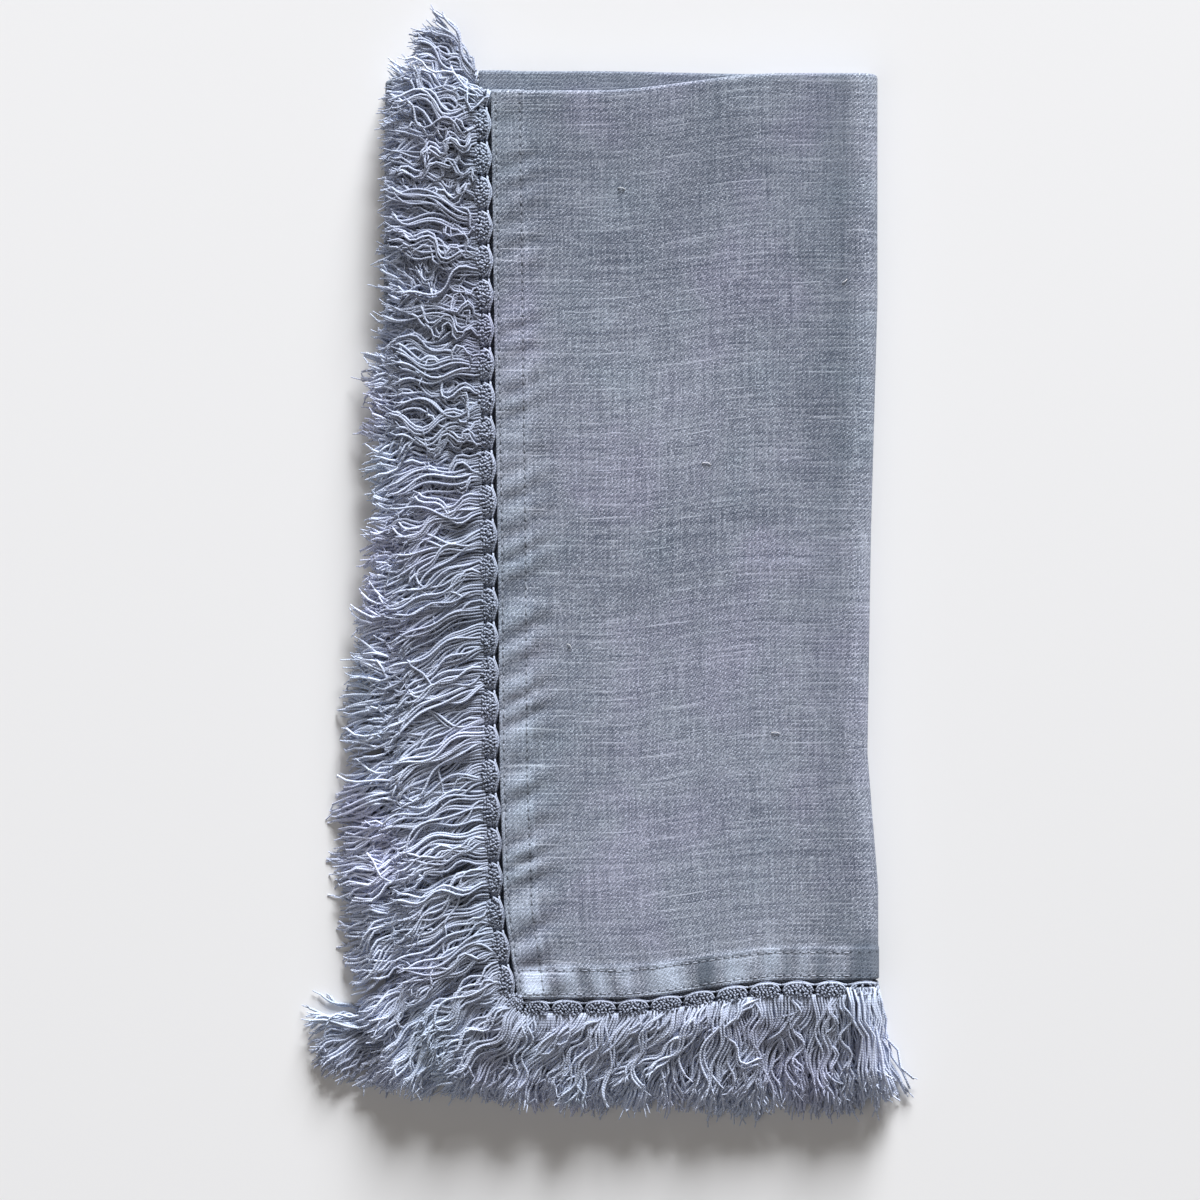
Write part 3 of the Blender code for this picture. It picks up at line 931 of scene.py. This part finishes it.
def make_fringe(name, edges, flow, fullness, material, seed):
    """Make the threads of one stretch of the fringe."""
    rng = np.random.default_rng(seed)
    strands = Threads()
    for edge in edges:
        add_tassel(strands, rng, edge, flow, choose_fullness(edge, fullness))
    return strands.make(name, material)


def make_knots(name, edges, detail, material, seed):
    """Make the knots and tying threads of one stretch of the fringe."""
    rng = np.random.default_rng(seed)
    knots = Threads()
    for edge in edges:
        if detail or (edge.side and edge.place() > TOPMOST_ABOVE):
            add_knots(knots, rng, edge, KNOT_ROWS, LOOP)
        else:
            add_knots(knots, rng, edge, HIDDEN_KNOT_ROWS, HIDDEN_LOOP)
        if not edge.corner:
            points = 11 if detail else 7
            add_rim(knots, rng, edge, points)
            add_chain(knots, rng, edge, points)
    return knots.make(name, material)


# ---------------------------------------------------------------------------------------------
# Stitches of the hems, and lint
# ---------------------------------------------------------------------------------------------

STITCH_START, STITCH_SHARE = 0.16, 0.68  # where a stitch starts and how long it is, in its step
STITCH_RADIUS, LINT_RADIUS = 0.15 * MM, 0.09 * MM


def on_front(across, along, lift):
    """Points just above the front layer's surface."""
    points, normals = fold(across, along)
    height = relief(across, along) * front_weight(across, along) + HEM_THICKNESS / 2 + lift
    return points + normals * height[:, None]


def make_stitches(material):
    """Two rows of short stitches along the front layer's hems."""
    rng = np.random.default_rng(41)
    stitches = Threads()
    bow = np.linspace(0, 1, 5)
    for row in STITCH_ROWS:
        for side in (True, False):
            end = HEIGHT - 1 * MM if side else FRONT_RUN_END - 2 * MM
            for start in np.arange(1, int(end / STITCH)) * STITCH:
                place = start + (STITCH_START + STITCH_SHARE * bow) * STITCH
                beside = np.full(5, row) + rng.normal(0, 0.05 * MM)
                lift = (np.sin(bow * math.pi) * 0.10 - 0.08) * MM
                if side:
                    line = on_front(beside, place, lift)
                else:
                    line = on_front(place, beside, lift)
                tint = np.clip(0.6 + rng.normal(0, 0.1), 0, 1)
                stitches.add(line[None], STITCH_RADIUS, [tint])
    return stitches.make("hem_stitches", material)


# Each fibre's place on the open cloth and its length, in millimetres, and in radians the way it
# heads and how far it curls
Lint = namedtuple("Lint", "across along length heading curl")
LINT = (
    Lint(53, 131, 3.0, 1.9, 1.6),
    Lint(30, 204, 2.2, 0.4, -1.2),
    Lint(71, 62, 2.6, 2.5, 1.0),
    Lint(18, 88, 2.0, 1.2, 2.0),
    Lint(84, 176, 1.8, 0.2, 0.8),
)


def make_lint(material):
    """A few short pale fibres lying on the front layer."""
    fibres = Threads()
    count = 8
    share = np.linspace(0, 1, count)
    for bit in LINT:
        angle = bit.heading + bit.curl * share
        across = bit.across * MM + np.cumsum(np.cos(angle)) * bit.length * MM / count
        along = bit.along * MM + np.cumsum(np.sin(angle)) * bit.length * MM / count
        line = on_front(across, along, -0.12 * MM + 0.2 * MM * np.sin(share * math.pi))
        fibres.add(line[None], LINT_RADIUS, [1.0])
    return fibres.make("lint", material)


# ---------------------------------------------------------------------------------------------
# Materials
# ---------------------------------------------------------------------------------------------

WEAVE_PITCH = 0.33 * MM  # from one thread of the cloth to the next
YARN_TWIST, THIN_TWIST = 1.35 * MM, 0.45 * MM  # length of a turn, in fringe yarn and in fine thread
WEAVE_DEPTH, TWIST_DEPTH = 0.14 * MM, 0.1 * MM  # of the bump


class Nodes:
    """Places nodes in a node tree and joins them."""

    def __init__(self, tree):
        self.tree = tree

    def feed(self, socket, value):
        """Join a socket to another, or give it a value."""
        if isinstance(value, bpy.types.NodeSocket):
            self.tree.links.new(value, socket)
        else:
            socket.default_value = value

    def add(self, kind, inputs=None, **settings):
        """Place a node with its settings, and feed its inputs."""
        node = self.tree.nodes.new(kind)
        for key, value in settings.items():
            setattr(node, key, value)
        for key, value in (inputs or {}).items():
            self.feed(node.inputs[key], value)
        return node

    def math(self, operation, *values):
        """Place a maths node and give its output."""
        node = self.tree.nodes.new("ShaderNodeMath")
        node.operation = operation
        for socket, value in zip(node.inputs, values):
            self.feed(socket, value)
        return node.outputs[0]

    def blend(self, share, first, second):
        """Mix two colours and give the output."""
        node = self.add("ShaderNodeMix", data_type="RGBA")
        self.feed(node.inputs[0], share)
        self.feed(node.inputs[6], first)
        self.feed(node.inputs[7], second)
        return node.outputs[2]

    def noise(self, vector, scale, detail=2.0, roughness=0.5):
        """Place a noise texture and give its value."""
        fields = {"Vector": vector, "Scale": scale, "Detail": detail, "Roughness": roughness}
        return self.add("ShaderNodeTexNoise", fields).outputs[0]

    def ramp(self, value, low, high, start=0.0, end=1.0):
        """Map a value from one range onto another, held at its ends."""
        fields = {"Value": value, "From Min": low, "From Max": high, "To Min": start, "To Max": end}
        return self.add("ShaderNodeMapRange", fields).outputs[0]


def new_group(name, inputs, outputs):
    """Start a node group. Give it with its helper, its inputs and its output node."""
    group = bpy.data.node_groups.new(name, "ShaderNodeTree")
    for label, kind, value in inputs:
        socket = group.interface.new_socket(label, in_out="INPUT", socket_type=kind)
        socket.default_value = value
    for label, kind in outputs:
        group.interface.new_socket(label, in_out="OUTPUT", socket_type=kind)
    nodes = Nodes(group)
    return group, nodes, nodes.add("NodeGroupInput").outputs, nodes.add("NodeGroupOutput").inputs


def wandering_threads(nodes, pitch):
    """The cloth's UV map, a little wavy, counted in threads across and along."""
    uv = nodes.add("ShaderNodeUVMap", uv_map="cloth").outputs[0]
    wander = nodes.add("ShaderNodeTexNoise", {"Vector": uv, "Scale": 130.0, "Detail": 2.0})
    middle = {0: wander.outputs[1], 1: (0.5, 0.5, 0.5)}
    shift = nodes.add("ShaderNodeVectorMath", middle, operation="SUBTRACT").outputs[0]
    moves = {0: shift, 1: (0.0011, 0.0011, 0.0), 2: uv}
    moved = nodes.add("ShaderNodeVectorMath", moves, operation="MULTIPLY_ADD").outputs[0]
    parts = nodes.add("ShaderNodeSeparateXYZ", {0: moved}).outputs
    return nodes.math("DIVIDE", parts[0], pitch), nodes.math("DIVIDE", parts[1], pitch)


def thread_tone(nodes, number, along, swapped):
    """How light each single thread is, changing slowly on its way."""
    places = nodes.math("MULTIPLY", number, 7.31), nodes.math("MULTIPLY", along, 0.02)
    fields = dict(enumerate(reversed(places) if swapped else places))
    return nodes.noise(nodes.add("ShaderNodeCombineXYZ", fields).outputs[0], 0.93, 1.0)


def weave_group():
    """Fine weave on the cloth's own UV map, in metres: its tone, with painted light on the threads'
    crowns and painted shade between them and on the sunken cells, and its height.
    """
    floats = [("Pitch", "NodeSocketFloat", WEAVE_PITCH)]
    group, nodes, given, put = new_group(
        "fine_weave", floats, [("Tone", "NodeSocketFloat"), ("Height", "NodeSocketFloat")]
    )
    warp, weft = wandering_threads(nodes, given["Pitch"])
    warp_round = nodes.math("ABSOLUTE", nodes.math("SINE", nodes.math("MULTIPLY", warp, math.pi)))
    weft_round = nodes.math("ABSOLUTE", nodes.math("SINE", nodes.math("MULTIPLY", weft, math.pi)))
    warp_number, weft_number = nodes.math("FLOOR", warp), nodes.math("FLOOR", weft)
    cells = nodes.math("SUBTRACT", warp_number, weft_number)
    over = nodes.math("LESS_THAN", nodes.math("FLOORED_MODULO", cells, 3.0), 0.5)
    crown = nodes.math("MULTIPLY", warp_round, weft_round)
    number = nodes.add("ShaderNodeCombineXYZ", {0: warp_number, 1: weft_number}).outputs[0]
    speck = nodes.add("ShaderNodeTexWhiteNoise", {"Vector": number}, noise_dimensions="2D").outputs[0]
    warp_tone = thread_tone(nodes, warp_number, weft, False)
    weft_tone = thread_tone(nodes, weft_number, warp, True)
    thread = nodes.math("MULTIPLY_ADD", weft_tone, 0.6, nodes.math("MULTIPLY", warp_tone, 0.4))
    slub = nodes.ramp(weft_tone, 0.67, 0.77, 0.0, 0.45)
    # Painted light and shade: the crowns are drawn lighter and the sunken cells darker, as their
    # height has them; the specks, thread tones and slubs are the cloth's own.
    tone = nodes.math("MULTIPLY_ADD", crown, 0.30, nodes.math("MULTIPLY", over, -0.42))
    tone = nodes.math("ADD", tone, nodes.math("MULTIPLY", nodes.math("POWER", speck, 4.0), 0.60))
    tone = nodes.math("ADD", tone, nodes.math("MULTIPLY_ADD", thread, 1.55, -0.47))
    tone = nodes.math("ADD", tone, slub)
    nodes.feed(put["Tone"], tone)
    raised = nodes.math("MULTIPLY_ADD", over, -0.8, crown)
    nodes.feed(put["Height"], nodes.math("MULTIPLY_ADD", speck, 0.3, raised))
    return group


def needle_group():
    """Needle holes along the two rows of stitches of a hem, 1 in a hole and 0 elsewhere."""
    group, nodes, given, put = new_group(
        "needle_holes", [("Step", "NodeSocketFloat", STITCH)], [("Mask", "NodeSocketFloat")]
    )
    uv = nodes.add("ShaderNodeUVMap", uv_map="cloth").outputs[0]
    parts = nodes.add("ShaderNodeSeparateXYZ", {0: uv})
    holes = []
    for from_edge, along in ((0, 1), (1, 0)):
        turn = nodes.math("DIVIDE", parts.outputs[along], given["Step"])
        near = nodes.math("ABSOLUTE", nodes.math("SUBTRACT", turn, nodes.math("ROUND", turn)))
        near = nodes.math("MULTIPLY", near, given["Step"])
        for row in STITCH_ROWS:
            off = nodes.math("ABSOLUTE", nodes.math("SUBTRACT", parts.outputs[from_edge], row))
            squares = nodes.math("POWER", near, 2.0), nodes.math("POWER", off, 2.0)
            apart = nodes.math("SQRT", nodes.math("ADD", *squares))
            holes.append(nodes.ramp(apart, 0.42 * MM, 0.20 * MM))
    mask = holes[0]
    for hole in holes[1:]:
        mask = nodes.math("MAXIMUM", mask, hole)
    nodes.feed(put["Mask"], mask)
    return group


def twist_group():
    """Two-ply yarn: its tone, with painted shade in the grooves between the plies and towards the
    root, and its height, from the thread's own attributes.
    """
    floats = [("Pitch", "NodeSocketFloat", 0.9 * MM)]
    group, nodes, given, put = new_group(
        "twisted_yarn", floats, [("Tone", "NodeSocketFloat"), ("Height", "NodeSocketFloat")]
    )
    along = nodes.add("ShaderNodeAttribute", attribute_name="along").outputs["Fac"]
    around = nodes.add("ShaderNodeAttribute", attribute_name="around").outputs["Fac"]
    tint = nodes.add("ShaderNodeAttribute", attribute_name="tint").outputs["Fac"]
    turn = nodes.math("DIVIDE", along, given["Pitch"])
    turn = nodes.math("ADD", turn, nodes.math("MULTIPLY", around, 0.5))
    ply = nodes.math("ABSOLUTE", nodes.math("SINE", nodes.math("MULTIPLY", turn, 2 * math.pi)))
    object_place = nodes.add("ShaderNodeTexCoord").outputs["Object"]
    fibre = nodes.noise(object_place, 2600.0, 2.0)
    share = nodes.add("ShaderNodeAttribute", attribute_name="share").outputs["Fac"]
    # Painted shade towards the root, where the threads crowd at the knot; the lighter tips are the
    # frayed ends.
    root, tip = nodes.ramp(share, 0.0, 0.45, -0.20, 0.0), nodes.ramp(share, 0.8, 1.0, 0.0, 0.12)
    ends = nodes.math("ADD", root, tip)
    # The plies' crowns are drawn lighter and their grooves darker, as the height has them: painted
    # light and shade.
    tone = nodes.math("MULTIPLY_ADD", ply, 0.26, nodes.math("MULTIPLY", tint, 0.70))
    tone = nodes.math("ADD", nodes.math("ADD", tone, ends), nodes.math("MULTIPLY", fibre, 0.24))
    tone = nodes.math("SUBTRACT", tone, 0.14)
    nodes.feed(put["Tone"], tone)
    nodes.feed(put["Height"], nodes.math("MULTIPLY_ADD", fibre, 0.4, ply))
    return group


def dye_and_shade_group():
    """Uneven slate colouring: from a thread's tone, its wear and its painted light and shade, to its
    colour.
    """
    group, nodes, given, put = new_group(
        "uneven_dye_and_shade",
        [
            ("Tone", "NodeSocketFloat", 0.5),
            ("Fade", "NodeSocketFloat", 0.0),
            ("Dark", "NodeSocketColor", (0.1, 0.1, 0.1, 1)),
            ("Light", "NodeSocketColor", (0.3, 0.3, 0.3, 1)),
            ("Faded_and_painted_light", "NodeSocketColor", (0.6, 0.6, 0.7, 1)),
            ("Deep", "NodeSocketColor", (0.03, 0.06, 0.09, 1)),
        ],
        [("Colour", "NodeSocketColor")],
    )
    place = nodes.add("ShaderNodeTexCoord").outputs["Object"]
    cloud = nodes.noise(place, 26.0, 3.0, 0.55)
    hue = nodes.noise(place, 43.0, 2.0)
    tone = nodes.math("ADD", given["Tone"], nodes.ramp(cloud, 0.30, 0.70, -0.10, 0.10))
    base = nodes.blend(tone, given["Dark"], given["Light"])
    # Below 0 the colour goes towards Deep: painted shade on the hidden edges and in the side hem's
    # pucker troughs, and the darker patches and gradients. Above 0 it goes towards the pale colour:
    # wear, with painted light on the pucker crests.
    deep = nodes.ramp(given["Fade"], 0.0, -1.0)
    faded = nodes.blend(nodes.ramp(given["Fade"], 0.0, 1.0), base, given["Faded_and_painted_light"])
    faded = nodes.blend(deep, faded, given["Deep"])
    violet = nodes.blend(nodes.ramp(hue, 0.52, 0.70), (1, 1, 1, 1), (1.025, 0.982, 1.03, 1))
    teal = nodes.blend(nodes.ramp(hue, 0.48, 0.30), (1, 1, 1, 1), (0.968, 1.01, 1.002, 1))
    for wash in (violet, teal):
        node = nodes.add("ShaderNodeMix", data_type="RGBA", blend_type="MULTIPLY")
        nodes.feed(node.inputs[0], 1.0)
        nodes.feed(node.inputs[6], faded)
        nodes.feed(node.inputs[7], wash)
        faded = node.outputs[2]
    nodes.feed(put["Colour"], faded)
    return group


def start_material(name, roughness, sheen):
    """Start a cloth material. Give it with its helper and its shader's inputs."""
    material = bpy.data.materials.new(name)
    material.use_nodes = True
    shader = material.node_tree.nodes["Principled BSDF"].inputs
    shader["Roughness"].default_value = roughness
    shader["Sheen Weight"].default_value = sheen
    shader["Sheen Roughness"].default_value = 0.6
    shader["Specular IOR Level"].default_value = 0.25
    return material, Nodes(material.node_tree), shader


def linen_material(weave, dye_and_shade, needle):
    """Slate linen worn by stone-washing, with painted shade in its needle holes, on its hidden edges
    and along its side hem's puckers.
    """
    material, nodes, shader = start_material("slate_linen", 0.9, 0.08)
    woven = nodes.add("ShaderNodeGroup", node_tree=weave)
    fade = nodes.add("ShaderNodeAttribute", attribute_name="fade").outputs["Fac"]
    colours = {
        "Tone": woven.outputs["Tone"],
        "Fade": nodes.math("MULTIPLY", fade, nodes.ramp(woven.outputs["Tone"], 0.1, 0.7, 0.45, 1.05)),
        "Dark": (0.062, 0.080, 0.124, 1),
        "Light": (0.535, 0.58, 0.695, 1),
        "Faded_and_painted_light": (0.66, 0.76, 0.94, 1),
    }
    dyed = nodes.add("ShaderNodeGroup", colours, node_tree=dye_and_shade)
    holes = nodes.add("ShaderNodeGroup", node_tree=needle).outputs["Mask"]
    # Painted shade in the needle holes: the cloth is drawn near black in each hole.
    shade = nodes.math("MULTIPLY", holes, 0.85)
    pierced = nodes.blend(shade, dyed.outputs["Colour"], (0.035, 0.045, 0.065, 1))
    nodes.feed(shader["Base Color"], pierced)
    fields = {"Height": woven.outputs["Height"], "Distance": WEAVE_DEPTH, "Strength": 0.8}
    nodes.feed(shader["Normal"], nodes.add("ShaderNodeBump", fields).outputs[0])
    return material


def yarn_material(name, twist, dye_and_shade, dark, light, pitch):
    """Two-ply yarn, dyed between two colours by a tone that also holds painted light and shade."""
    material, nodes, shader = start_material(name, 0.85, 0.10)
    ply = nodes.add("ShaderNodeGroup", {"Pitch": pitch}, node_tree=twist)
    colours = {"Tone": ply.outputs["Tone"], "Dark": dark, "Light": light, "Faded_and_painted_light": light}
    dyed = nodes.add("ShaderNodeGroup", colours, node_tree=dye_and_shade)
    nodes.feed(shader["Base Color"], dyed.outputs["Colour"])
    fields = {"Height": ply.outputs["Height"], "Distance": TWIST_DEPTH, "Strength": 0.6}
    nodes.feed(shader["Normal"], nodes.add("ShaderNodeBump", fields).outputs[0])
    return material


# ---------------------------------------------------------------------------------------------
# The napkin
# ---------------------------------------------------------------------------------------------

set_camera()
light_the_room()
add_floor()

weave, needle, twist, dye_and_shade = weave_group(), needle_group(), twist_group(), dye_and_shade_group()
slate_linen = linen_material(weave, dye_and_shade, needle)
fringe_yarn = yarn_material(
    "fringe_yarn", twist, dye_and_shade, (0.112, 0.130, 0.180, 1), (0.645, 0.715, 0.90, 1), YARN_TWIST
)
stitch_yarn = yarn_material(
    "stitch_yarn", twist, dye_and_shade, (0.12, 0.14, 0.19, 1), (0.48, 0.52, 0.62, 1), THIN_TWIST
)
pale_fibre = yarn_material(
    "pale_fibre", twist, dye_and_shade, (0.45, 0.47, 0.52, 1), (0.85, 0.87, 0.90, 1), THIN_TWIST
)

linen = make_linen(slate_linen)
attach(linen, "root")
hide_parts("linen_cloth")

TOP = HEIGHT / LENGTH  # the share of a side edge at which the top fold starts
FRONT_END = FRONT_RUN_END / WIDTH  # the share of a lower edge at which the front layer ends

# Each stretch of the fringe: name, side edge or lower edge, far edge or near one, its shares of
# the edge, how it flows, how full it is, and the CAD node that it stands for
Stretch = namedtuple("Stretch", "name side far first last flow fullness node")
STRETCHES = (
    Stretch("fringe_side_1", True, False, 0, TOP, SIDE_FLOW, FRONT, "fringe_side_front"),
    Stretch("fringe_side_2", True, False, TOP, 1, SIDE_FLOW, MIDDLE, None),
    Stretch("fringe_side_4", True, True, 0, TOP, BACK_SIDE_FLOW, MIDDLE, "fringe_side_back"),
    Stretch("fringe_side_3", True, True, TOP, 1, BACK_SIDE_FLOW, MIDDLE, None),
    Stretch("fringe_end_1", False, False, 0, FRONT_END, END_FLOW, FRONT, "fringe_end_front"),
    Stretch("fringe_end_8", False, False, FRONT_END, 1, BACK_END_FLOW, REAR, None),
    Stretch("fringe_end_2", False, True, 0, FRONT_END, END_FLOW, MIDDLE, "fringe_end_back"),
    Stretch("fringe_end_7", False, True, FRONT_END, 1, BACK_END_FLOW, REAR, None),
)

for number, stretch in enumerate(STRETCHES):
    edges = tassel_edges(stretch.side, stretch.far, stretch.first, stretch.last)
    fringe = make_fringe(
        stretch.name, edges, stretch.flow, stretch.fullness, fringe_yarn, 100 + number
    )
    detail = stretch.fullness is FRONT
    knots = make_knots(stretch.name + "_knots", edges, detail, fringe_yarn, 200 + number)
    for piece in (fringe, knots):
        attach(piece, "root")
    if stretch.node:
        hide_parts(stretch.node)

for piece in (make_stitches(stitch_yarn), make_lint(pale_fibre)):
    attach(piece, "root")
